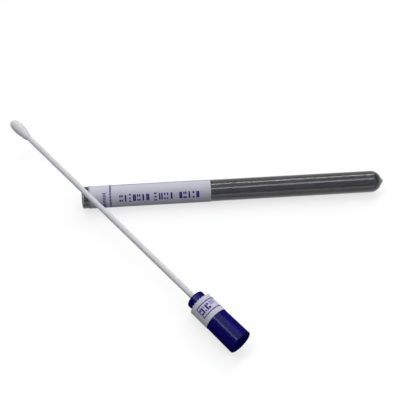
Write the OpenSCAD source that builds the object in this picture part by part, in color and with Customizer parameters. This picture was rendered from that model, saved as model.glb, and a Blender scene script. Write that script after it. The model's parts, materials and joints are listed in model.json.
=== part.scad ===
// Specimen swab tube, opened: a clear tube with a paper label lies on its side, and the swab
// that it came with leans over its open mouth, still fixed in its push-in cap.
// Frame: the origin is the centre of the tube's mouth, +X runs along the tube to its closed
// end and +Z is up. Millimetres.

/* [Tube] */
// Outside diameter of the tube
tube_d = 11; // [9:0.1:16]
// Thickness of the tube's wall
tube_wall = 1.1; // [0.6:0.1:1.6]
// Length of the tube, from its mouth to the tip of its closed end
tube_len = 152.5; // [100:0.5:200]
// Lead-in chamfer on the inside of the mouth
mouth_lead = 0.3; // [0.1:0.05:0.5]
// Rounding of the outside edge of the mouth
mouth_round = 0.25; // [0.1:0.05:0.5]
// How far the moulding nib stands past the round end
nib_h = 0.7; // [0.3:0.1:1.5]
// Width of the nib where it leaves the round end
nib_base_d = 4.6; // [2:0.1:6]
// Width of the nib at its tip
nib_tip_d = 1.5; // [0.6:0.1:1.8]

/* [Label] */
// Thickness of the label paper
paper_t = 0.1; // [0.06:0.01:0.3]
// Film of glue between the paper and what it is wrapped round
glue_t = 0.02; // [0.01:0.01:0.05]
// Bare tube between the mouth and the torn edge of the label
label_setback = 3.5; // [2:0.1:8]
// Length of the tube label, from its torn edge to its square end
label_len = 60.7; // [30:0.1:90]
// Distance from the torn edge to the second line of perforations
tear_strip = 10.6; // [6:0.1:20]
// Width of the overlap where the paper meets itself, measured round the tube
lap_w = 3; // [1:0.1:5]
// Where the overlap lies on the tube, as an angle from the top towards the back
lap_angle = 105; // [40:1:150]
// Length of the torn band that stays on the cap
band_len = 10.1; // [7:0.1:14]
// Perforations in one turn of the paper
perforations = 24; // [12:1:36]
// Share of each step that is cut, the rest being the tie that holds
perforation_cut = 0.68; // [0.5:0.02:0.8]
// Width of a perforation, and height of a torn tie
perforation_w = 0.22; // [0.1:0.02:0.4]

/* [Cap] */
// How far the cap's shoulder stands out past the tube all round
cap_overhang = 0.15; // [0:0.05:1]
// Length of the cap outside the tube, from its closed end to the shoulder
cap_len = 22; // [16:0.5:40]
// Draft of the grip: how much its radius grows from the label band to the closed end
cap_draft = 0.18; // [0:0.02:0.4]
// Rounding of the rim at the closed end
cap_rim_r = 0.5; // [0.3:0.1:1.5]
// Rounding of the shoulder's edge
shoulder_r = 0.2; // [0.1:0.05:0.3]
// Length of the plug that goes into the tube
plug_len = 7.6; // [5:0.1:14]
// Rounding of the plug's nose
plug_nose_r = 0.9; // [0.3:0.1:1.5]
// Gap between the plug and the bore, all round
plug_fit = 0.02; // [0.01:0.01:0.1]

/* [Swab] */
// Diameter of the stick
stick_d = 2.7; // [2:0.1:3.4]
// Length of the stick
stick_len = 150; // [100:1:180]
// Depth of the stick in its socket, from the plug's nose
stick_seat = 9.6; // [6:0.1:16]
// Chamfer on the stick's ends
stick_chamfer = 0.2; // [0.1:0.05:0.4]
// Gap between the stick and its socket, all round
stick_fit = 0.02; // [0.01:0.01:0.1]
// Largest diameter of the bud
bud_d = 5.6; // [4:0.1:7]
// Length of the bud
bud_len = 13.5; // [11:0.5:22]
// How much smaller the radius of the bud's nose is than the bud's
bud_nose_step = 0.4; // [0.1:0.05:0.8]
// Radius of the long curve from the nose to the widest place
bud_front_r = 15; // [10:1:40]
// Radius of the long curve from the widest place back to the neck
bud_back_r = 22; // [16:1:90]
// Length of the neck, where the fibres thin out on the stick
bud_neck = 2.5; // [1:0.1:4]
// Thickness of the fibres at the end of the neck
bud_thin = 0.15; // [0.1:0.05:0.4]
// Fibres in front of the stick's end
bud_pad = 1; // [0.5:0.1:2]

/* [Layout] */
// Angle between the tube and the swab, seen from above
swab_yaw = 128.9; // [110:0.1:150]
// Where the stick crosses the tube, measured from the mouth
rest_at = 0.2; // [0.2:0.1:4]
// How far the swab reaches past that crossing, to the tip of the bud
past_tube = 59.2; // [25:0.1:110]
// Gap left between the stick and the tube where they cross
rest_gap = 0.03; // [0.01:0.01:0.1]

/* [Hidden] */
$fn = 96;
large_arc_fn = 360; // facets of the bud's large circles, which show only short arcs
cut_over = 1; // how far a cutting shape runs past what it cuts

tube_r = tube_d / 2;
bore_r = tube_r - tube_wall;
round_x = tube_len - nib_h - tube_r; // centre of the round end
nib_x = round_x + sqrt(pow(tube_r, 2) - pow(nib_base_d / 2, 2)); // where the nib leaves it

label_in_r = tube_r + glue_t;
label_out_r = label_in_r + paper_t;
floor_z = -label_out_r;

grip_r = tube_r + cap_overhang; // cap under the label band
cap_end_r = grip_r + cap_draft;
plug_r = bore_r - plug_fit;
plug_tip = cap_len + plug_len;
socket_r = stick_d / 2 + stick_fit;
band_from = cap_len + label_setback - band_len; // the band bridged the joint by label_setback

stick_from = plug_tip - stick_seat;
stick_to = stick_from + stick_len;
bud_tip = stick_to + bud_pad;
bud_r = bud_d / 2;
bud_nose_r = bud_r - bud_nose_step;
bud_nose_rise = sqrt(pow(bud_front_r - bud_nose_r, 2) - pow(bud_front_r - bud_r, 2));
bud_mid = bud_tip - bud_nose_r - bud_nose_rise; // where the bud is widest
bud_blend = bud_mid + bud_nose_rise * bud_front_r / (bud_front_r - bud_nose_r);
bud_end = bud_tip - bud_len;
bud_shoulder = bud_end + bud_neck;
bud_neck_r = socket_r + bud_thin;
bud_taper = bud_back_r - sqrt(pow(bud_back_r, 2) - pow(bud_mid - bud_shoulder, 2));
bud_shoulder_r = max(bud_r - bud_taper, bud_neck_r);

// What the stick rests on. From the crossing, the stick clears the tube by the square of the
// distance over crossing_flat, less what it comes down by as it leans, so a label that starts
// nearer than label_reach carries the stick instead of the bare tube.
torn_from = label_setback - perforation_w;
first_lean = 3;
crossing_flat = 2 * (stick_d / 2 + tube_r * pow(cos(swab_yaw), 2)) / pow(sin(swab_yaw), 2);
label_reach = sqrt(crossing_flat * (label_out_r - tube_r)) + crossing_flat * tan(first_lean);
rest_r = torn_from - rest_at > label_reach ? tube_r : label_out_r;

// The swab stands on the rim of its cap and leans on the tube. Its lean is the angle at which
// the two axes pass each other at the sum of the radii, found by repeated correction.
axis_gap = rest_r + stick_d / 2 + rest_gap;
corrections = 12;
function reach(lean) = (bud_tip - past_tube) * cos(lean); // cap's closed end to the crossing
function cap_end_z(lean) =
    floor_z + cap_rim_r + (cap_end_r - cap_rim_r) * cos(lean) - cap_rim_r * sin(lean);
function next_lean(lean) =
    asin((axis_gap * norm([sin(lean), sin(swab_yaw) * cos(lean)])
          - sin(swab_yaw) * cos(lean) * cap_end_z(lean)) / (reach(lean) * sin(swab_yaw)));
function settle(lean, tries) = tries == 0 ? lean : settle(next_lean(lean), tries - 1);
swab_lean = settle(first_lean, corrections);
from_above = reach(swab_lean);
swab_at = [rest_at - from_above * cos(swab_yaw), -from_above * sin(swab_yaw), cap_end_z(swab_lean)];

// Turns a shape that stands on +Z so that it lies along +X
module along_tube() {
    rotate([0, 90, 0]) children();
}

// Puts a shape that stands on +Z, closed end of the cap at the origin, where the swab lies
module along_swab() {
    translate(swab_at) rotate([0, 90 - swab_lean, swab_yaw]) children();
}

// Half of a lens: the part of a large circle that bulges to +X past the axis, between two heights
module bulge(widest, curve_r, middle, low, high) {
    intersection() {
        translate([widest - curve_r, middle]) circle(curve_r, $fn = large_arc_fn);
        translate([0, low]) square([widest, high - low]);
    }
}

// Quarter of a disc from the axis outwards, on the side of +Y
module round_nose(r) {
    intersection() {
        circle(r);
        square([r, r]);
    }
}

// Tube-shaped ring on +Z
module ring(in_r, out_r, from, len) {
    translate([0, 0, from]) difference() {
        cylinder(h = len, r = out_r);
        translate([0, 0, -cut_over]) cylinder(h = len + 2 * cut_over, r = in_r);
    }
}

// Bars that point outwards, one at each perforation, as wide as its cut
module perforation_cuts(out_r, from, len) {
    cut_w = 2 * PI * out_r / perforations * perforation_cut;
    for (i = [0 : perforations - 1])
        rotate([0, 0, i * 360 / perforations])
            translate([0, -cut_w / 2, from]) cube([out_r + cut_over, cut_w, len]);
}

// Sector of a disc, centred on +X, that is as wide as the overlap at radius r
module lap_sector(r) {
    half = lap_w / r * 90 / PI;
    far = (r + cut_over) / cos(half);
    polygon([[0, 0], [far * cos(half), -far * sin(half)], [far * cos(half), far * sin(half)]]);
}

// Paper wrapped round a cylinder of radius in_r, two layers thick where it overlaps itself
module wrapped_paper(in_r, from, len) {
    out_r = in_r + paper_t;
    ring(in_r, out_r, from, len);
    intersection() {
        ring(in_r, out_r + paper_t, from, len);
        translate([0, 0, from]) linear_extrude(height = len) lap_sector(out_r);
    }
}

// Clear tube: open mouth with a lead-in, straight bore, round closed end with its moulding nib
module tube() {
    color([0.55, 0.57, 0.6, 0.5]) along_tube() rotate_extrude() difference() {
        union() {
            square([tube_r - mouth_round, round_x]);
            translate([0, mouth_round]) square([tube_r, round_x - mouth_round]);
            translate([tube_r - mouth_round, mouth_round]) circle(mouth_round);
            translate([0, round_x]) round_nose(tube_r);
            polygon([[0, nib_x], [nib_base_d / 2, nib_x], [nib_tip_d / 2, tube_len], [0, tube_len]]);
        }
        square([bore_r, round_x]);
        translate([0, round_x]) round_nose(bore_r);
        polygon([[0, -cut_over], [bore_r + mouth_lead + cut_over, -cut_over],
                 [bore_r, mouth_lead], [0, mouth_lead]]);
    }
}

// Paper label on the tube: torn along its first perforations, still whole at the second
module tube_label() {
    second_cut = label_setback + tear_strip - perforation_w / 2;
    color([0.93, 0.93, 0.97]) along_tube() rotate([0, 0, 180 - lap_angle]) difference() {
        wrapped_paper(label_in_r, torn_from, label_len + perforation_w);
        perforation_cuts(label_out_r, torn_from - cut_over, perforation_w + cut_over);
        perforation_cuts(label_out_r, second_cut, perforation_w);
    }
}

// Push-in cap, one moulding: grip with a slight draft, square shoulder, plug and stick socket
module cap() {
    color([0.08, 0.05, 0.42]) along_swab() rotate_extrude() difference() {
        union() {
            square([cap_end_r - cap_rim_r, cap_rim_r]);
            translate([cap_end_r - cap_rim_r, cap_rim_r]) circle(cap_rim_r);
            polygon([[0, cap_rim_r], [cap_end_r, cap_rim_r], [grip_r, band_from],
                     [grip_r, cap_len - shoulder_r], [0, cap_len - shoulder_r]]);
            square([grip_r - shoulder_r, cap_len]);
            translate([grip_r - shoulder_r, cap_len - shoulder_r]) circle(shoulder_r);
            square([plug_r, plug_tip - plug_nose_r]);
            square([plug_r - plug_nose_r, plug_tip]);
            translate([plug_r - plug_nose_r, plug_tip - plug_nose_r]) circle(plug_nose_r);
        }
        translate([0, stick_from]) square([socket_r, stick_seat + cut_over]);
    }
}

// Band of the label that tore off with the cap; its torn edge stands free round the plug
module cap_band() {
    band_in_r = grip_r + glue_t;
    band_to = band_from + band_len;
    color([0.93, 0.93, 0.97]) along_swab() rotate([0, 0, lap_angle]) difference() {
        wrapped_paper(band_in_r, band_from, band_len + perforation_w);
        perforation_cuts(band_in_r + paper_t, band_to, perforation_w + cut_over);
    }
}

// Plain moulded stick with chamfered ends
module stick() {
    stick_r = stick_d / 2;
    color([0.95, 0.95, 0.96]) along_swab() translate([0, 0, stick_from]) rotate_extrude()
        polygon([[0, 0], [stick_r - stick_chamfer, 0], [stick_r, stick_chamfer],
                 [stick_r, stick_len - stick_chamfer], [stick_r - stick_chamfer, stick_len],
                 [0, stick_len]]);
}

// Wound fibre bud: blunt nose, belly a little before the middle, and a short neck that thins out
module bud() {
    color([0.97, 0.97, 0.97]) along_swab() rotate_extrude() difference() {
        union() {
            translate([0, bud_tip - bud_nose_r]) round_nose(bud_nose_r);
            bulge(bud_r, bud_front_r, bud_mid, bud_mid, bud_blend);
            bulge(bud_r, bud_back_r, bud_mid, bud_shoulder, bud_mid);
            translate([0, bud_end]) square([bud_neck_r, bud_blend - bud_end]);
            polygon([[0, bud_end], [bud_neck_r, bud_end],
                     [bud_shoulder_r, bud_shoulder], [0, bud_shoulder]]);
        }
        translate([0, bud_end - cut_over]) square([socket_r, bud_len - bud_pad + cut_over]);
    }
}

tube();
tube_label();
cap();
cap_band();
stick();
bud();
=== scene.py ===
import json
import math
import random

import bmesh
import bpy
from mathutils import Matrix, Vector, noise
from mathutils.bvhtree import BVHTree


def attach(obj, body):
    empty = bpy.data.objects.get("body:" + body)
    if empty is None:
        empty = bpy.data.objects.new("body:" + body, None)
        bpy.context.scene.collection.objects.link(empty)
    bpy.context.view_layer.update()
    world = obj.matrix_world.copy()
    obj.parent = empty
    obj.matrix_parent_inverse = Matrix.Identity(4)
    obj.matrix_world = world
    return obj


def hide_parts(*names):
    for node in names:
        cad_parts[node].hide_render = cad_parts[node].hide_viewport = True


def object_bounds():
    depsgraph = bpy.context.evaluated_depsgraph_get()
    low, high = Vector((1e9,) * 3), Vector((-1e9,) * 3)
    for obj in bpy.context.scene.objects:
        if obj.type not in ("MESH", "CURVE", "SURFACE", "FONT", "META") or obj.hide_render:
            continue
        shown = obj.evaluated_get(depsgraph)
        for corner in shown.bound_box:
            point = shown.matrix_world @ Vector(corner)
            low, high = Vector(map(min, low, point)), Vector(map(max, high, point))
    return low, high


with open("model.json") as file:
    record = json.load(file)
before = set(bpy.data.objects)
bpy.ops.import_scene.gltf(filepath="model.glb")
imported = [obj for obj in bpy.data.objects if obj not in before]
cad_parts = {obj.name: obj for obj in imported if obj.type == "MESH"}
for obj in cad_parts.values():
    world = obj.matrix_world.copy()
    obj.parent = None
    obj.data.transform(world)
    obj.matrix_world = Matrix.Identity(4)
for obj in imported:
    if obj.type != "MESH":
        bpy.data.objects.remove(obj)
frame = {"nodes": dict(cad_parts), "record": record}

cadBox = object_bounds()
mm = 0.001
body = "root"
nodes = frame["nodes"]
mounts = {mount["name"]: mount for mount in frame["record"]["mounts"]}
floorHeight = cadBox[0].z
sameEnd = 0.05 * mm  # corners this close to a piece's end belong to it
sameEdge = 0.01 * mm  # and this close to a torn edge, to the edge
sameTie = math.radians(8)  # corners of a torn edge within this turn are one tie
print("packed model loaded")


def axisFrame(point, direction):
    # +Z along the axis, +X as near to straight up as it can be
    along = direction.normalized()
    up = (Vector((0, 0, 1)) - along * along.z).normalized()
    side = along.cross(up)
    matrix = Matrix((up, side, along)).transposed().to_4x4()
    matrix.translation = point
    return matrix


def endCentres(node, direction):
    # middles of a round piece's two end faces
    points = [vertex.co.copy() for vertex in nodes[node].data.vertices]
    heights = [point.dot(direction) for point in points]
    ends = []
    for wanted in (min(heights), max(heights)):
        near = [point for point, height in zip(points, heights) if abs(height - wanted) < sameEnd]
        ends.append(sum(near, Vector()) / len(near))
    return ends


# the tube's frame starts at its mouth, the swab's at the stick's end in the cap
tubeFrame = axisFrame(Vector(mounts["tube_mouth"]["pos_m"]), -Vector(mounts["tube_mouth"]["axis"]))
stickEnds = endCentres("stick", Vector(mounts["cap_plug"]["axis"]))
swabFrame = axisFrame(stickEnds[0], stickEnds[1] - stickEnds[0])


def alongRange(node, matrix):
    # how far a node reaches along an axis frame
    back = matrix.inverted()
    heights = [(back @ vertex.co).z for vertex in nodes[node].data.vertices]
    return min(heights), max(heights)


def widestRadius(node, matrix):
    back = matrix.inverted()
    points = [back @ vertex.co for vertex in nodes[node].data.vertices]
    return max(math.hypot(point.x, point.y) for point in points)


def roundPoint(matrix, angle, radius, height):
    return matrix @ Vector((math.cos(angle) * radius, math.sin(angle) * radius, height))


def newMaterial(name):
    material = bpy.data.materials.new(name)
    material.use_nodes = True
    tree = material.node_tree
    tree.nodes.clear()
    output = tree.nodes.new("ShaderNodeOutputMaterial")
    shader = tree.nodes.new("ShaderNodeBsdfPrincipled")
    tree.links.new(shader.outputs["BSDF"], output.inputs["Surface"])
    return material, tree, shader


def addNode(tree, kind, **settings):
    node = tree.nodes.new(kind)
    for name, value in settings.items():
        setattr(node, name, value)
    return node


def fill(node, **values):
    # sets a node's plain inputs, with spaces in their names written as underscores
    for name, value in values.items():
        node.inputs[name.replace("_", " ")].default_value = value
    return node


def newGroup(name, inputs, outputs):
    group = bpy.data.node_groups.new(name, "ShaderNodeTree")
    for socketName, kind, value in inputs:
        socket = group.interface.new_socket(socketName, in_out="INPUT", socket_type=kind)
        socket.default_value = value
    for socketName, kind in outputs:
        group.interface.new_socket(socketName, in_out="OUTPUT", socket_type=kind)
    return group, group.nodes.new("NodeGroupInput"), group.nodes.new("NodeGroupOutput")


def placeGroup(tree, group, **values):
    node = tree.nodes.new("ShaderNodeGroup")
    node.node_tree = group
    return fill(node, **values)


def buildMottle():
    # uneven colour and shine: large soft clouds with fine specks over them
    group, source, sink = newGroup(
        "Mottle",
        [("Colour", "NodeSocketColor", (0.5, 0.5, 0.5, 1)),
         ("Cloud Colour", "NodeSocketColor", (0.4, 0.4, 0.4, 1)),
         ("Cloud Size", "NodeSocketFloat", 200.0), ("Clouds", "NodeSocketFloat", 0.5),
         ("Speck Size", "NodeSocketFloat", 2500.0), ("Specks", "NodeSocketFloat", 0.1),
         ("Roughness", "NodeSocketFloat", 0.4), ("Roughness Spread", "NodeSocketFloat", 0.1)],
        [("Colour", "NodeSocketColor"), ("Roughness", "NodeSocketFloat")])
    place = addNode(group, "ShaderNodeTexCoord")
    clouds = fill(addNode(group, "ShaderNodeTexNoise"), Detail=3.0)
    specks = fill(addNode(group, "ShaderNodeTexNoise"), Detail=1.0)
    for texture, size in ((clouds, "Cloud Size"), (specks, "Speck Size")):
        group.links.new(place.outputs["Object"], texture.inputs["Vector"])
        group.links.new(source.outputs[size], texture.inputs["Scale"])
    cloudShare = addNode(group, "ShaderNodeMath", operation="MULTIPLY")
    group.links.new(clouds.outputs["Fac"], cloudShare.inputs[0])
    group.links.new(source.outputs["Clouds"], cloudShare.inputs[1])
    tint = addNode(group, "ShaderNodeMix", data_type="RGBA")
    group.links.new(cloudShare.outputs[0], tint.inputs["Factor"])
    group.links.new(source.outputs["Colour"], tint.inputs["A"])
    group.links.new(source.outputs["Cloud Colour"], tint.inputs["B"])
    speckle = addNode(group, "ShaderNodeMix", data_type="RGBA", blend_type="OVERLAY")
    group.links.new(source.outputs["Specks"], speckle.inputs["Factor"])
    group.links.new(tint.outputs["Result"], speckle.inputs["A"])
    group.links.new(specks.outputs["Fac"], speckle.inputs["B"])
    group.links.new(speckle.outputs["Result"], sink.inputs["Colour"])
    centred = addNode(group, "ShaderNodeMath", operation="SUBTRACT")
    centred.inputs[1].default_value = 0.5  # the middle of the noise
    spread = addNode(group, "ShaderNodeMath", operation="MULTIPLY_ADD")
    group.links.new(clouds.outputs["Fac"], centred.inputs[0])
    group.links.new(centred.outputs[0], spread.inputs[0])
    group.links.new(source.outputs["Roughness Spread"], spread.inputs[1])
    group.links.new(source.outputs["Roughness"], spread.inputs[2])
    group.links.new(spread.outputs[0], sink.inputs["Roughness"])
    return group


def buildGrain():
    # fine relief: a soft wave for moulded faces and a tight grain for fibre
    group, source, sink = newGroup(
        "Grain",
        [("Stretch", "NodeSocketVector", (1.0, 1.0, 1.0)), ("Wave Size", "NodeSocketFloat", 150.0),
         ("Wave", "NodeSocketFloat", 0.2), ("Grain Size", "NodeSocketFloat", 3000.0),
         ("Grain", "NodeSocketFloat", 0.1), ("Depth", "NodeSocketFloat", 0.02 * mm)],
        [("Normal", "NodeSocketVector")])
    place = addNode(group, "ShaderNodeTexCoord")
    stretched = addNode(group, "ShaderNodeVectorMath", operation="MULTIPLY")
    group.links.new(place.outputs["Object"], stretched.inputs[0])
    group.links.new(source.outputs["Stretch"], stretched.inputs[1])
    height = None
    for size, share, detail in (("Wave Size", "Wave", 2.0), ("Grain Size", "Grain", 4.0)):
        texture = fill(addNode(group, "ShaderNodeTexNoise"), Detail=detail)
        group.links.new(stretched.outputs[0], texture.inputs["Vector"])
        group.links.new(source.outputs[size], texture.inputs["Scale"])
        scaled = addNode(group, "ShaderNodeMath", operation="MULTIPLY_ADD")
        group.links.new(texture.outputs["Fac"], scaled.inputs[0])
        group.links.new(source.outputs[share], scaled.inputs[1])
        scaled.inputs[2].default_value = 0.0
        if height is not None:
            group.links.new(height, scaled.inputs[2])
        height = scaled.outputs[0]
    bump = fill(addNode(group, "ShaderNodeBump"), Strength=1.0)
    group.links.new(height, bump.inputs["Height"])
    group.links.new(source.outputs["Depth"], bump.inputs["Distance"])
    group.links.new(bump.outputs["Normal"], sink.inputs["Normal"])
    return group


def buildSlant():
    # 1 up to one value of facing, falling to what is left at another
    group, source, sink = newGroup(
        "Slant",
        [("Facing", "NodeSocketFloat", 0.0), ("Start", "NodeSocketFloat", 0.1), ("End", "NodeSocketFloat", 0.5),
         ("Left", "NodeSocketFloat", 0.5)],
        [("Share", "NodeSocketFloat")])
    share = fill(addNode(group, "ShaderNodeMapRange", clamp=True), To_Min=1.0)
    for name, wanted in (("Facing", "Value"), ("Start", "From Min"), ("End", "From Max"), ("Left", "To Max")):
        group.links.new(source.outputs[name], share.inputs[wanted])
    group.links.new(share.outputs["Result"], sink.inputs["Share"])
    return group


mottle = buildMottle()
grain = buildGrain()
slant = buildSlant()


def pieceMaterial(name, look):
    # colour, roughness and relief from the shared groups, and the shader's plain values
    material, tree, shader = newMaterial(name)
    colours = placeGroup(
        tree, mottle, Colour=(*look["colour"], 1), Cloud_Colour=(*look["cloudColour"], 1),
        Cloud_Size=look["cloudSize"], Clouds=look["clouds"], Speck_Size=look["speckSize"],
        Specks=look["specks"], Roughness=look["roughness"], Roughness_Spread=look["spread"])
    relief = placeGroup(
        tree, grain, Stretch=look["stretch"], Wave_Size=look["waveSize"], Wave=look["wave"],
        Grain_Size=look["grainSize"], Grain=look["grain"], Depth=look["depth"])
    tree.links.new(colours.outputs["Colour"], shader.inputs["Base Color"])
    tree.links.new(colours.outputs["Roughness"], shader.inputs["Roughness"])
    tree.links.new(relief.outputs["Normal"], shader.inputs["Normal"])
    fill(shader, **look["plain"])
    return material, tree, shader


def slantShare(tree, values):
    # how much is left of something where the face turns away from the eye
    start, end, left = values
    facing = fill(addNode(tree, "ShaderNodeLayerWeight"), Blend=0.5)
    share = placeGroup(tree, slant, Start=start, End=end, Left=left)
    tree.links.new(facing.outputs["Facing"], share.inputs["Facing"])
    return share.outputs["Share"]


def dress(piece, material):
    piece.data.materials.clear()
    piece.data.materials.append(material)


def newPiece(name, shape, material):
    # shape is a pair of lists, corners and faces, of closed skins
    mesh = bpy.data.meshes.new(name)
    mesh.from_pydata(shape[0], [], shape[1])
    work = bmesh.new()
    work.from_mesh(mesh)
    bmesh.ops.recalc_face_normals(work, faces=work.faces)
    work.to_mesh(mesh)
    work.free()
    mesh.polygons.foreach_set("use_smooth", [True] * len(mesh.polygons))
    piece = bpy.data.objects.new(name, mesh)
    bpy.context.scene.collection.objects.link(piece)
    dress(piece, material)
    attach(piece, body)
    return piece


def joinRings(shape, rings, closed=False):
    # skins a row of equal rings of corners, with a flat end at both ends unless the row closes
    corners, faces = shape
    first, size, count = len(corners), len(rings[0]), len(rings)
    for ring in rings:
        corners.extend(ring)
    for i in range(count if closed else count - 1):
        low, high = first + size * i, first + size * ((i + 1) % count)
        for j in range(size):
            k = (j + 1) % size
            faces.append((low + j, low + k, high + k, high + j))
    if not closed:
        faces.append(tuple(range(first + size - 1, first - 1, -1)))
        faces.append(tuple(range(first + size * (count - 1), first + size * count)))


fibreTaper = 0.6  # share of its radius that a fibre loses on the way to its free end


def addFibre(shape, points, radius):
    rings = []
    last = len(points) - 1
    for i, point in enumerate(points):
        way = (points[min(i + 1, last)] - points[max(i - 1, 0)]).normalized()
        side = way.orthogonal().normalized()
        over = way.cross(side)
        size = radius * (1 - fibreTaper * i / last)
        rings.append([point + (side * math.cos(turn) + over * math.sin(turn)) * size
                      for turn in (0, math.tau / 3, 2 * math.tau / 3)])
    joinRings(shape, rings)


# tube of clear plastic
tubeLook = {
    "colour": (0.245, 0.246, 0.265), "cloudColour": (0.212, 0.213, 0.23), "cloudSize": 60.0, "clouds": 0.5,
    "speckSize": 900.0, "specks": 0.05, "roughness": 0.04, "spread": 0.02,
    "stretch": (0.1, 1.0, 1.0), "waveSize": 160.0, "wave": 1.0, "grainSize": 900.0, "grain": 0.05,
    "depth": 0.003 * mm,
    "plain": {"IOR": 1.49, "Transmission_Weight": 1.0},
    # the tint's deepening is partly real loss in the plastic and partly painted shade that darkens the tube's rims
    "slant": (0.13, 0.36, 0.05),  # where its tint starts and stops deepening, and the light left there
}


def clearPlastic():
    material, tree, shader = pieceMaterial("clearPlastic", tubeLook)
    # light that crosses the wall at a slant goes through more plastic and loses more, and the strong deepening
    # towards the rims is painted shade on the tube's edges
    tint = addNode(tree, "ShaderNodeMix", data_type="RGBA", blend_type="MULTIPLY")
    tint.inputs["Factor"].default_value = 1.0
    tree.links.new(shader.inputs["Base Color"].links[0].from_socket, tint.inputs["A"])
    tree.links.new(slantShare(tree, tubeLook["slant"]), tint.inputs["B"])
    tree.links.new(tint.outputs["Result"], shader.inputs["Base Color"])
    return material


dress(nodes["tube"], clearPlastic())
print("tube")


# cap, a glossy moulding with a matt closed end
capLook = {
    "colour": (0.004, 0.0025, 0.092), "cloudColour": (0.0085, 0.006, 0.124), "cloudSize": 150.0, "clouds": 0.7,
    "speckSize": 2500.0, "specks": 0.04, "roughness": 0.6, "spread": 0.16,
    "stretch": (1.0, 1.0, 1.0), "waveSize": 220.0, "wave": 1.0, "grainSize": 3500.0, "grain": 0.1,
    "depth": 0.05 * mm,
    "plain": {"IOR": 1.49, "Specular_IOR_Level": 0.0, "Coat_Roughness": 0.20},
    "skin": 0.52, "skinSlant": (0.02, 0.20, 0.03), "endFace": (0.135 * mm, 0.45 * mm),
}


def capPlastic():
    material, tree, shader = pieceMaterial("capPlastic", capLook)
    # the shiny skin stops at the closed end
    place = addNode(tree, "ShaderNodeTexCoord")
    along = addNode(tree, "ShaderNodeVectorMath", operation="DOT_PRODUCT")
    axis = swabFrame.col[2].to_3d()
    along.inputs[1].default_value = axis
    low = axis.dot(swabFrame.translation) + alongRange("cap", swabFrame)[0]
    start, end = capLook["endFace"]
    skin = fill(addNode(tree, "ShaderNodeMapRange", clamp=True), From_Min=low + start, From_Max=low + end,
                To_Min=0.0, To_Max=capLook["skin"])
    tree.links.new(place.outputs["Object"], along.inputs[0])
    tree.links.new(along.outputs["Value"], skin.inputs["Value"])
    # and thins where the face turns away
    weight = addNode(tree, "ShaderNodeMath", operation="MULTIPLY")
    tree.links.new(skin.outputs["Result"], weight.inputs[0])
    tree.links.new(slantShare(tree, capLook["skinSlant"]), weight.inputs[1])
    tree.links.new(weight.outputs[0], shader.inputs["Coat Weight"])
    return material


dress(nodes["cap"], capPlastic())
print("cap")


# stick, drawn plastic that lets a little light in
stickLook = {
    "colour": (0.62, 0.62, 0.655), "cloudColour": (0.57, 0.57, 0.61), "cloudSize": 90.0, "clouds": 0.5,
    "speckSize": 3000.0, "specks": 0.05, "roughness": 0.42, "spread": 0.12,
    "stretch": (1.0, 1.0, 1.0), "waveSize": 200.0, "wave": 0.6, "grainSize": 4000.0, "grain": 0.15,
    "depth": 0.02 * mm,
    "plain": {"IOR": 1.46, "Specular_IOR_Level": 0.3, "Subsurface_Weight": 0.4, "Subsurface_Scale": 0.8 * mm,
              "Subsurface_Radius": (1, 1, 1)},
}
dress(nodes["stick"], pieceMaterial("stickPlastic", stickLook)[0])
print("stick")


# paper of the label and of the band on the cap
paperLook = {
    "colour": (0.53, 0.535, 0.61), "cloudColour": (0.485, 0.49, 0.555), "cloudSize": 160.0, "clouds": 0.5,
    "speckSize": 5000.0, "specks": 0.12, "roughness": 0.62, "spread": 0.15,
    "stretch": (1.0, 1.0, 1.0), "waveSize": 300.0, "wave": 0.7, "grainSize": 9000.0, "grain": 0.5,
    "depth": 0.03 * mm,
    "plain": {"Specular_IOR_Level": 0.2},
    "lapEdge": math.radians(3),  # the paper climbs onto the overlap within this turn
}
# fibres at its torn edge; root and rise are shares of the layer and of the fibre's length
tearLook = {
    "perTie": 7, "length": (0.10 * mm, 0.42 * mm), "radius": 0.012 * mm, "spread": 0.75, "tieHalf": 0.2 * mm,
    "root": (0.2, 0.8), "rooted": 0.06 * mm, "rise": (-0.3, 0.5), "bend": 1.5, "steps": (0, 0.35, 0.7, 1),
    "labelSeed": 11, "bandSeed": 12,
}


def middleOf(angles):
    return math.atan2(sum(map(math.sin, angles)), sum(map(math.cos, angles)))


def away(angle, middle):
    # signed turn from middle to angle
    return math.remainder(angle - middle, math.tau)


def wrappedPaper(node, matrix, tornAtLow):
    # a wrap's own measures: its two layers, where they overlap, its torn edge and the ties on it
    back = matrix.inverted()
    points = [back @ vertex.co for vertex in nodes[node].data.vertices]
    layers = sorted({round(math.hypot(point.x, point.y) / mm, 2) for point in points})
    single, double = layers[-2] * mm, layers[-1] * mm
    lapAngles = [math.atan2(point.y, point.x) for point in points
                 if math.hypot(point.x, point.y) > (single + double) / 2]
    lapMiddle = middleOf(lapAngles)
    heights = [point.z for point in points]
    torn = min(heights) if tornAtLow else max(heights)
    edge = sorted(math.atan2(point.y, point.x) for point in points if abs(point.z - torn) < sameEdge)
    ties, cluster = [], [edge[0]]
    for angle in edge[1:] + [math.inf]:
        if angle - cluster[-1] < sameTie:
            cluster.append(angle)
        else:
            ties.append((min(cluster) + max(cluster)) / 2)
            cluster = [angle]
    return {
        "matrix": matrix, "radius": single, "layer": double - single, "torn": torn, "ties": ties,
        "inwards": 1 if tornAtLow else -1, "lapMiddle": lapMiddle,
        "lapHalf": max(abs(away(angle, lapMiddle)) for angle in lapAngles),
    }


def onPaper(sheet, along, angle, lift):
    # a point on the paper, or lift above it, riding up over the overlap
    past = abs(away(angle, sheet["lapMiddle"])) - sheet["lapHalf"]
    onLap = min(max(1 - past / paperLook["lapEdge"], 0), 1)
    radius = sheet["radius"] + sheet["layer"] * onLap + lift
    return roundPoint(sheet["matrix"], angle, radius, along)


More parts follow.
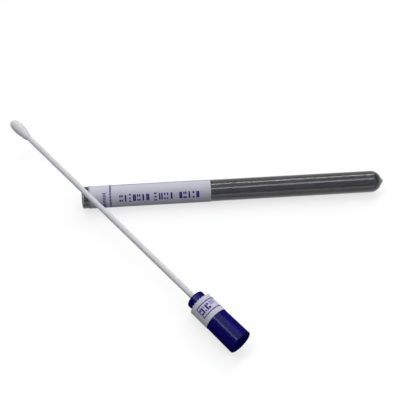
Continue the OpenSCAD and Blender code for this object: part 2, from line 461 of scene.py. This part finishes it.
def tearFibres(name, sheet, seed):
    # paper fibres pulled out of each torn tie
    rng = random.Random(seed)
    look, shape = tearLook, ([], [])
    half = look["tieHalf"] / sheet["radius"]
    for tie in sheet["ties"]:
        for _ in range(look["perTie"]):
            angle = tie + rng.uniform(-half, half)
            lift = -sheet["layer"] * rng.uniform(*look["root"])
            length = rng.uniform(*look["length"])
            slope = rng.uniform(-1, 1) * look["spread"] * length / sheet["radius"]
            rise = rng.uniform(*look["rise"]) * length
            points = []
            for step in look["steps"]:
                along = sheet["torn"] + sheet["inwards"] * (look["rooted"] - step * length)
                point = onPaper(sheet, along, angle + slope * step ** look["bend"], lift + rise * step * step)
                point.z = max(point.z, floorHeight + 2 * look["radius"])  # none goes into the ground
                points.append(point)
            addFibre(shape, points, look["radius"])
    newPiece(name, shape, paper)


paper = pieceMaterial("labelPaper", paperLook)[0]
dress(nodes["tube_label"], paper)
dress(nodes["cap_band"], paper)
labelSheet = wrappedPaper("tube_label", tubeFrame, True)
bandSheet = wrappedPaper("cap_band", swabFrame, False)
tearFibres("label_fibres", labelSheet, tearLook["labelSeed"])
tearFibres("band_fibres", bandSheet, tearLook["bandSeed"])
print("paper, ties:", len(labelSheet["ties"]), len(bandSheet["ties"]))


# ink of the print, which is plain lines, bars and blocks in thin closed strips
inkLook = {
    "colour": (0.028, 0.012, 0.25), "cloudColour": (0.052, 0.034, 0.33), "cloudSize": 900.0, "clouds": 0.6,
    "speckSize": 7000.0, "specks": 0.15, "roughness": 0.55, "spread": 0.1,
    "stretch": (1.0, 1.0, 1.0), "waveSize": 900.0, "wave": 0.4, "grainSize": 9000.0, "grain": 0.5,
    "depth": 0.01 * mm,
    "plain": {"Specular_IOR_Level": 0.2},
    "lift": (0.004 * mm, 0.012 * mm), "step": 0.3 * mm, "strip": 0.25 * mm, "sharpest": 0.5,
    "markShare": 0.8, "markMargin": 0.1,  # of the room that a mark has along its row
}
paleInkLook = dict(inkLook, colour=(0.25, 0.22, 0.58), cloudColour=(0.36, 0.33, 0.66))
# each mark is a few strokes on a unit square, after how wide they are: 0 is the pen's width, 1 the mark's
markStrokes = {
    "bar": ((0.3, (0.5, 0), (0.5, 1)),),
    "pair": ((0, (0.1, 0), (0.1, 1)), (0, (0.9, 0), (0.9, 1))),
    "quad": ((0, (0, 0), (0, 0.34)), (0, (0, 0.66), (0, 1)), (0, (1, 0), (1, 0.34)), (0, (1, 0.66), (1, 1))),
    "stack": ((0, (0, 0), (1, 0)), (0, (0.1, 0.5), (0.9, 0.5)), (0, (0, 1), (1, 1))),
    "blocks": ((0.9, (0.5, 0), (0.5, 0.3)), (0.9, (0.5, 0.7), (0.5, 1))),
}
ink = pieceMaterial("ink", inkLook)[0]
paleInk = pieceMaterial("paleInk", paleInkLook)[0]


def penStroke(shape, sheet, points, width):
    # a thin closed strip of ink that follows the paper; points are (along, round) in metres
    closed = points[0] == points[-1]
    path = []
    for here, there in zip(points, points[1:]):
        here, there = Vector(here), Vector(there)
        count = max(1, math.ceil((there - here).length / inkLook["step"]))
        path.extend(here.lerp(there, i / count) for i in range(count))
    if not closed:
        path.append(Vector(points[-1]))
    rings, last = [], len(path) - 1
    low, high = inkLook["lift"]
    strips = math.ceil(width / inkLook["strip"])
    for i, point in enumerate(path):
        ways = []
        if i > 0 or closed:
            ways.append((point - path[i - 1]).normalized())
        if i < last or closed:
            ways.append((path[(i + 1) % len(path)] - point).normalized())
        way = (ways[0] + ways[-1]).normalized()
        side = Vector((-way.y, way.x)) * (width / 2 / max(way.dot(ways[0]), inkLook["sharpest"]))
        row = [point + side * (1 - 2 * k / strips) for k in range(strips + 1)]
        ring = [onPaper(sheet, spot.x, spot.y / sheet["radius"], high) for spot in row]
        ring += [onPaper(sheet, spot.x, spot.y / sheet["radius"], low) for spot in reversed(row)]
        rings.append(ring)
    joinRings(shape, rings, closed)


def roundAt(sheet, degrees):
    return math.radians(degrees) * sheet["radius"]


def addMarks(shape, sheet, origin, reading, upright, size, length, names, pen):
    # a row of plain marks that fills the same room as a line of print
    names = names.split()
    pitch = length / len(names)
    wide = pitch * inkLook["markShare"] - pen
    for i, name in enumerate(names):
        left = origin + reading * (pitch * (i + inkLook["markMargin"]) + pen / 2)
        for share, *stroke in markStrokes[name]:
            corners = [left + reading * (x * wide) + upright * (pen / 2 + y * (size - pen)) for x, y in stroke]
            penStroke(shape, sheet, [tuple(corner) for corner in corners], pen + (wide - pen) * share)


# print on the label: lengths along the tube from its mouth, angles round it in degrees
labelPrint = {
    "pen": 0.74 * mm, "markSize": 4.2 * mm, "middle": 55.0,
    "groups": ((18.3 * mm, 15.4 * mm, "quad bar stack pair quad bar pair"),
               (35.1 * mm, 10.7 * mm, "stack pair quad bar"),
               (48.0 * mm, 10.6 * mm, "pair quad bar blocks pair")),
    "slits": {"at": 14.1 * mm, "pen": 0.30 * mm, "long": 1.20 * mm, "gap": 0.13 * mm, "tornInset": 0.22 * mm,
              "to": 122.0},
    "column": {"at": 11.05 * mm, "from": 24.0, "to": 108.0, "step": 8.2, "size": 1.7 * mm, "pen": 0.46 * mm,
               "shares": (1.0, 0.7, 1.0, 0.85)},
    "openSquare": (7.5 * mm, 73.0, 99.0), "fullSquare": (9.0 * mm, 73.0, 99.0), "squareWide": 1.2 * mm,
    "squarePen": 0.25 * mm,
    "edgeLine": {"at": -31.0, "from": 14.9 * mm, "to": 63.9 * mm, "width": 0.36 * mm},
}


def printLabel():
    sheet, look, shape = labelSheet, labelPrint, ([], [])
    foot = roundAt(sheet, look["middle"]) + look["markSize"] / 2
    for start, length, names in look["groups"]:
        addMarks(shape, sheet, Vector((start, foot)), Vector((1, 0)), Vector((0, -1)), look["markSize"],
                 length, names, look["pen"])
    # a dash on both sides of every slit, and one beside every torn slit
    slits = look["slits"]
    rows = (slits["at"] - slits["gap"] - slits["pen"] / 2, slits["at"] + slits["gap"] + slits["pen"] / 2,
            sheet["torn"] + slits["tornInset"] + slits["gap"] + slits["pen"] / 2)
    halfPitch = math.pi / len(sheet["ties"]) * sheet["radius"]
    for tie in sheet["ties"]:
        middle = tie * sheet["radius"] + halfPitch
        if abs(math.degrees(middle / sheet["radius"])) > slits["to"]:
            continue
        low, high = middle - slits["long"] / 2, middle + slits["long"] / 2
        for at in rows:
            penStroke(shape, sheet, ((at, low), (at, high)), slits["pen"])
    # a column of short dashes with two small squares beside it
    column = look["column"]
    angle, i = column["from"], 0
    while angle < column["to"]:
        half = column["size"] * column["shares"][i % len(column["shares"])] / 2
        turn = roundAt(sheet, angle)
        penStroke(shape, sheet, ((column["at"] - half, turn), (column["at"] + half, turn)), column["pen"])
        angle, i = angle + column["step"], i + 1
    half = look["squareWide"] / 2
    at, low, high = look["openSquare"]
    low, high = roundAt(sheet, low), roundAt(sheet, high)
    corners = ((at - half, low), (at + half, low), (at + half, high), (at - half, high), (at - half, low))
    penStroke(shape, sheet, corners, look["squarePen"])
    at, low, high = look["fullSquare"]
    penStroke(shape, sheet, ((at, roundAt(sheet, low)), (at, roundAt(sheet, high))), look["squareWide"])
    # a long thin dark line along the label, a little off its top, drawn in the ink
    line = look["edgeLine"]
    turn = roundAt(sheet, line["at"])
    penStroke(shape, sheet, ((line["from"], turn), (line["to"], turn)), line["width"])
    newPiece("label_print", shape, ink)


# print on the band: lengths from its torn edge, angles in degrees
bandPrint = {
    "frameNear": 2.6 * mm, "frameFar": 7.7 * mm, "frameFrom": -54.0, "frameTo": 84.0, "pen": 0.40 * mm,
    "marks": "quad pair blocks pair quad", "marksFrom": -51.0, "marksTo": 4.0, "markSize": 3.5 * mm,
    "markPen": 0.55 * mm,
    "pale": {"marks": "pair pair bar", "from": 8.0, "to": 42.0, "size": 2.6 * mm, "near": 3.1 * mm},
}


def printBand():
    sheet, look, shape, pale = bandSheet, bandPrint, ([], []), ([], [])
    near, far = sheet["torn"] - look["frameNear"], sheet["torn"] - look["frameFar"]
    low, high = roundAt(sheet, look["frameFrom"]), roundAt(sheet, look["frameTo"])
    penStroke(shape, sheet, ((near, low), (near, high), (far, high), (far, low), (near, low)), look["pen"])
    start, end = roundAt(sheet, look["marksFrom"]), roundAt(sheet, look["marksTo"])
    foot = (near + far) / 2 - look["markSize"] / 2
    addMarks(shape, sheet, Vector((foot, start)), Vector((0, 1)), Vector((1, 0)), look["markSize"],
             end - start, look["marks"], look["markPen"])
    row = look["pale"]
    start, end = roundAt(sheet, row["from"]), roundAt(sheet, row["to"])
    foot = sheet["torn"] - row["near"] - row["size"]
    addMarks(pale, sheet, Vector((foot, start)), Vector((0, 1)), Vector((1, 0)), row["size"], end - start,
             row["marks"], look["markPen"])
    newPiece("band_pale_print", pale, paleInk)
    newPiece("band_print", shape, ink)


printLabel()
printBand()
print("print")


# bud of wound fibre
budLook = {
    "colour": (0.70, 0.695, 0.71), "cloudColour": (0.62, 0.62, 0.64), "cloudSize": 300.0, "clouds": 0.5,
    "speckSize": 6000.0, "specks": 0.15, "roughness": 0.85, "spread": 0.1,
    "stretch": (1.0, 1.0, 1.0), "waveSize": 900.0, "wave": 0.8, "grainSize": 9000.0, "grain": 0.8,
    "depth": 0.05 * mm,
    "plain": {"Specular_IOR_Level": 0.1, "Sheen_Weight": 0.15, "Sheen_Roughness": 0.6},
    # the skin's rows from neck to tip, and the rays that measure the room for it
    "rows": 150, "around": 132, "crowding": 1.15, "rays": 12, "rayStart": 20 * mm,
    "neckGap": 0.01 * mm, "tipGap": 0.004 * mm, "boreGap": 0.012 * mm, "stickGap": 0.02 * mm,
    # turns of the winding a millimetre, then ridges, fine threads and lumps
    "twist": 2.6, "ridges": 3.2, "ridgeStretch": 0.12, "ridgeDepth": 0.06 * mm,
    "fines": 9, "fineStretch": 0.9, "fineDepth": 0.03 * mm,
    "lumps": 0.8, "lumpStretch": 0.3, "lumpStart": 7, "lumpDepth": 0.09 * mm,
    # the lopsided end, which runs out along the stick
    "thickSide": -110.0, "endRise": (0.13 * mm, 0.42 * mm), "endMiddle": 0.3 * mm, "endSpread": 1.5 * mm,
    "runOut": 1.5 * mm, "runOutRows": 12, "thinnest": 0.03 * mm,
}
fuzzLook = {
    "seed": 21, "count": 420, "radius": 0.011 * mm, "length": (0.5 * mm, 1.7 * mm), "steps": 5,
    "ends": 0.6 * mm, "slope": (0.15, 0.9), "rise": 0.16 * mm, "riseShare": (0.2, 1), "arch": 2.2,
    "root": 0.08 * mm, "lowGap": 0.1 * mm, "highGap": 0.2 * mm, "leastTurn": 0.1, "leastRadius": 1 * mm,
}
stickRadius = widestRadius("stick", swabFrame)
budFibreMaterial = pieceMaterial("budFibre", budLook)[0]


def budProfile():
    # the space that the model gives the bud: (height, radius) from its neck to its tip
    mesh = nodes["bud"].data
    tree = BVHTree.FromPolygons([v.co for v in mesh.vertices], [tuple(p.vertices) for p in mesh.polygons])
    low, high = alongRange("bud", swabFrame)
    turns = [turn * math.tau / budLook["rays"] for turn in range(budLook["rays"])]
    shares = [math.sin(i / budLook["rows"] * math.pi / 2) ** budLook["crowding"] for i in range(budLook["rows"] + 1)]
    first, last = low + budLook["neckGap"], high - budLook["tipGap"]
    profile = []
    # a set, so that the rows that would pass the tip become one
    for height in sorted({min(max(low + (high - low) * share, first), last) for share in shares}):
        middle = swabFrame @ Vector((0, 0, height))
        radii = []
        for turn in turns:
            out = swabFrame.to_3x3() @ Vector((math.cos(turn), math.sin(turn), 0))
            hit = tree.ray_cast(middle + out * budLook["rayStart"], -out)[0]
            radii.append((hit - middle).length)
        profile.append((height, min(radii)))
    return profile


def budSize(angle, height, radius, low):
    # radius of the wound fibre: relief over the model's space, and the end that thins out
    look, z = budLook, height / mm
    wound = angle + look["twist"] * z
    x, y = math.cos(wound), math.sin(wound)
    ridge = noise.noise(Vector((x, y, z * look["ridgeStretch"])) * look["ridges"])
    fine = noise.noise(Vector((x * look["fines"], y * look["fines"], z * look["fineStretch"])))
    lump = noise.noise(Vector((math.cos(angle) * look["lumps"], math.sin(angle) * look["lumps"],
                               z * look["lumpStretch"] + look["lumpStart"])))
    relief = look["ridgeDepth"] * ridge + look["fineDepth"] * fine + look["lumpDepth"] * lump
    fromEnd = height - low
    thick = 0.5 + 0.5 * math.cos(angle - math.radians(look["thickSide"]))
    thin, full = look["endRise"]
    swell = math.exp(-((fromEnd - look["endMiddle"]) / look["endSpread"]) ** 2)
    rise = (thin + (full - thin) * thick) * swell
    share = min(max(1 + fromEnd / look["runOut"], 0), 1)
    layer = (radius - stickRadius + rise + relief) * math.sin(share * math.pi / 2)
    return stickRadius + max(layer, look["thinnest"])


def makeBud():
    profile = budProfile()
    low, neck = profile[0]
    count = budLook["runOutRows"]
    profile = [(low - budLook["runOut"] * (1 - i / count) ** 2, neck) for i in range(count)] + profile
    turns = [step * math.tau / budLook["around"] for step in range(budLook["around"])]
    rings = []
    for height, radius in profile:
        ring = []
        for turn in turns:
            size = budSize(turn, height, radius, low) if radius > stickRadius else radius
            ring.append(roundPoint(swabFrame, turn, size, height))
        rings.append(ring)
    # down the inside, close round the stick
    bore = stickRadius + budLook["boreGap"]
    top = (stickEnds[1] - stickEnds[0]).length + budLook["stickGap"]
    hollow = [[roundPoint(swabFrame, turn, bore, height) for turn in turns] for height in (top, profile[0][0])]
    shape = ([], [])
    joinRings(shape, hollow + rings)
    piece = newPiece("bud_fibre", shape, budFibreMaterial)
    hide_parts("bud")
    return profile


def profileRadius(profile, height):
    for (below, small), (above, large) in zip(profile, profile[1:]):
        if below <= height <= above:
            share = (height - below) / max(above - below, 1e-9)
            return small + (large - small) * share
    return profile[-1][1]


def makeFuzz(profile):
    # loose fibres that lift a little off the winding
    look, rng, shape = fuzzLook, random.Random(fuzzLook["seed"]), ([], [])
    low, high = profile[0][0], profile[-1][0]
    for _ in range(look["count"]):
        height = low + look["ends"] + (high - low - 2 * look["ends"]) * rng.random()
        angle = rng.uniform(-math.pi, math.pi)
        length = rng.uniform(*look["length"])
        slope = rng.uniform(*look["slope"]) * rng.choice((-1, 1))
        rise = rng.uniform(*look["riseShare"]) * look["rise"]
        turning = math.sqrt(max(1 - slope * slope, look["leastTurn"]))
        points = []
        for step in range(look["steps"] + 1):
            share = step / look["steps"]
            here = min(max(height + slope * length * share, low + look["lowGap"]), high - look["highGap"])
            radius = profileRadius(profile, here)
            turn = angle + length * share * turning / max(radius, look["leastRadius"])
            size = radius - look["root"] + rise * math.sin(share * look["arch"])
            points.append(roundPoint(swabFrame, turn, size, here))
        addFibre(shape, points, look["radius"])
    newPiece("bud_loose_fibres", shape, budFibreMaterial)


makeFuzz(makeBud())
print("bud")


# floor, room, lamps and camera
stageLook = {
    "floorSize": 3.0, "floorColour": (0.32, 0.32, 0.32), "floorRoughness": 0.9, "ownWhite": 0.70,
    "roomDim": 0.0, "roomBright": 0.62, "brightSide": 60.0, "roomTurn": 0.7, "roomColour": (0.97, 0.98, 1.0),
    "backdropTop": 0.09, "backdropFade": 0.7,
    "camera": {"aim": (0.0589, -0.0012), "turn": -4.23, "elevation": 50.86, "height": 0.2958, "lens": 67.2,
               "nearest": 0.01},
}
# long soft boxes that face the object, their long sides turned from +X by "along"
lampLook = {
    "backLamp": {"size": (4.65, 0.40), "power": 42.0, "along": 37.0, "middle": (0.24, 1.43, 2.5)},
    "frontLamp": {"size": (4.0, 0.57), "power": 24.0, "along": 37.0, "middle": (0.125, -1.0, 2.5)},
    "backBox": {"size": (1.45, 1.25), "power": 3.2, "along": -18.0, "middle": (0.52, 1.61, 1.06)},
    "sideLamp": {"size": (1.2, 0.42), "power": 12.0, "along": 121.5, "middle": (-1.44, 0.18, 2.5)},
}


def seenRays(tree):
    # 1 for what the camera sees, straight or in metal and glass
    path = addNode(tree, "ShaderNodeLightPath")
    seen = path.outputs["Is Camera Ray"]
    for kind in ("Is Glossy Ray", "Is Transmission Ray"):
        either = addNode(tree, "ShaderNodeMath", operation="MAXIMUM")
        tree.links.new(seen, either.inputs[0])
        tree.links.new(path.outputs[kind], either.inputs[1])
        seen = either.outputs[0]
    return seen


def makeFloor():
    size = stageLook["floorSize"]
    mesh = bpy.data.meshes.new("floor")
    corners = [(x * size, y * size, floorHeight) for x, y in ((-1, -1), (1, -1), (1, 1), (-1, 1))]
    mesh.from_pydata(corners, [], [(0, 1, 2, 3)])
    floor = bpy.data.objects.new("floor", mesh)
    bpy.context.scene.collection.objects.link(floor)
    material, tree, shader = newMaterial("floor")
    fill(shader, Base_Color=(*stageLook["floorColour"], 1), Roughness=stageLook["floorRoughness"],
         Specular_IOR_Level=0.0, Emission_Color=(1, 1, 1, 1))
    strength = addNode(tree, "ShaderNodeMath", operation="MULTIPLY")
    strength.inputs[1].default_value = stageLook["ownWhite"]
    tree.links.new(seenRays(tree), strength.inputs[0])
    tree.links.new(strength.outputs[0], shader.inputs["Emission Strength"])
    dress(floor, material)


def makeWorld():
    world = bpy.data.worlds.new("studio")
    bpy.context.scene.world = world
    world.use_nodes = True
    tree = world.node_tree
    tree.nodes.clear()
    output = addNode(tree, "ShaderNodeOutputWorld")
    room = fill(addNode(tree, "ShaderNodeBackground"), Color=(*stageLook["roomColour"], 1))
    white = fill(addNode(tree, "ShaderNodeBackground"), Color=(1, 1, 1, 1), Strength=1.0)
    place = addNode(tree, "ShaderNodeTexCoord")
    towards = addNode(tree, "ShaderNodeVectorMath", operation="DOT_PRODUCT")
    turn = math.radians(stageLook["brightSide"])
    towards.inputs[1].default_value = (math.cos(turn), math.sin(turn), 0)
    level = fill(addNode(tree, "ShaderNodeMapRange"), From_Min=-stageLook["roomTurn"],
                 From_Max=stageLook["roomTurn"], To_Min=stageLook["roomDim"], To_Max=stageLook["roomBright"])
    tree.links.new(place.outputs["Generated"], towards.inputs[0])
    tree.links.new(towards.outputs["Value"], level.inputs["Value"])
    tree.links.new(level.outputs["Result"], room.inputs["Strength"])
    # a low white backdrop runs round the room where the floor ends
    height = addNode(tree, "ShaderNodeSeparateXYZ")
    top = stageLook["backdropTop"]
    backdrop = fill(addNode(tree, "ShaderNodeMapRange", clamp=True), From_Min=top * stageLook["backdropFade"],
                    From_Max=top, To_Min=1.0, To_Max=0.0)
    share = addNode(tree, "ShaderNodeMath", operation="MULTIPLY")
    either = addNode(tree, "ShaderNodeMixShader")
    tree.links.new(place.outputs["Generated"], height.inputs[0])
    tree.links.new(height.outputs["Z"], backdrop.inputs["Value"])
    tree.links.new(backdrop.outputs["Result"], share.inputs[0])
    tree.links.new(seenRays(tree), share.inputs[1])
    tree.links.new(share.outputs[0], either.inputs[0])
    tree.links.new(room.outputs[0], either.inputs[1])
    tree.links.new(white.outputs[0], either.inputs[2])
    tree.links.new(either.outputs[0], output.inputs["Surface"])


def makeLamp(name, look):
    data = bpy.data.lights.new(name, "AREA")
    data.shape = "RECTANGLE"
    data.size, data.size_y = look["size"]
    data.energy = look["power"]
    lamp = bpy.data.objects.new(name, data)
    bpy.context.scene.collection.objects.link(lamp)
    back = Vector(look["middle"]).normalized()
    turn = math.radians(look["along"])
    side = Vector((math.cos(turn), math.sin(turn), 0))
    side = (side - back * side.dot(back)).normalized()
    matrix = Matrix((side, back.cross(side), back)).transposed().to_4x4()
    matrix.translation = look["middle"]
    lamp.matrix_world = matrix


def makeCamera():
    look = stageLook["camera"]
    data = bpy.data.cameras.new("camera")
    data.lens = look["lens"]
    data.clip_start = look["nearest"]
    camera = bpy.data.objects.new("camera", data)
    bpy.context.scene.collection.objects.link(camera)
    turn, rise = math.radians(look["turn"] - 90), math.radians(look["elevation"])
    back = Vector((math.cos(turn) * math.cos(rise), math.sin(turn) * math.cos(rise), math.sin(rise)))
    camera.location = Vector((*look["aim"], floorHeight)) + back * (look["height"] / back.z)
    camera.rotation_mode = "QUATERNION"
    camera.rotation_quaternion = (-back).to_track_quat("-Z", "Y")
    bpy.context.scene.camera = camera


makeFloor()
makeWorld()
for lampName, look in lampLook.items():
    makeLamp(lampName, look)
makeCamera()
bpy.context.scene.view_settings.view_transform = "Standard"
print("floor, light and camera")
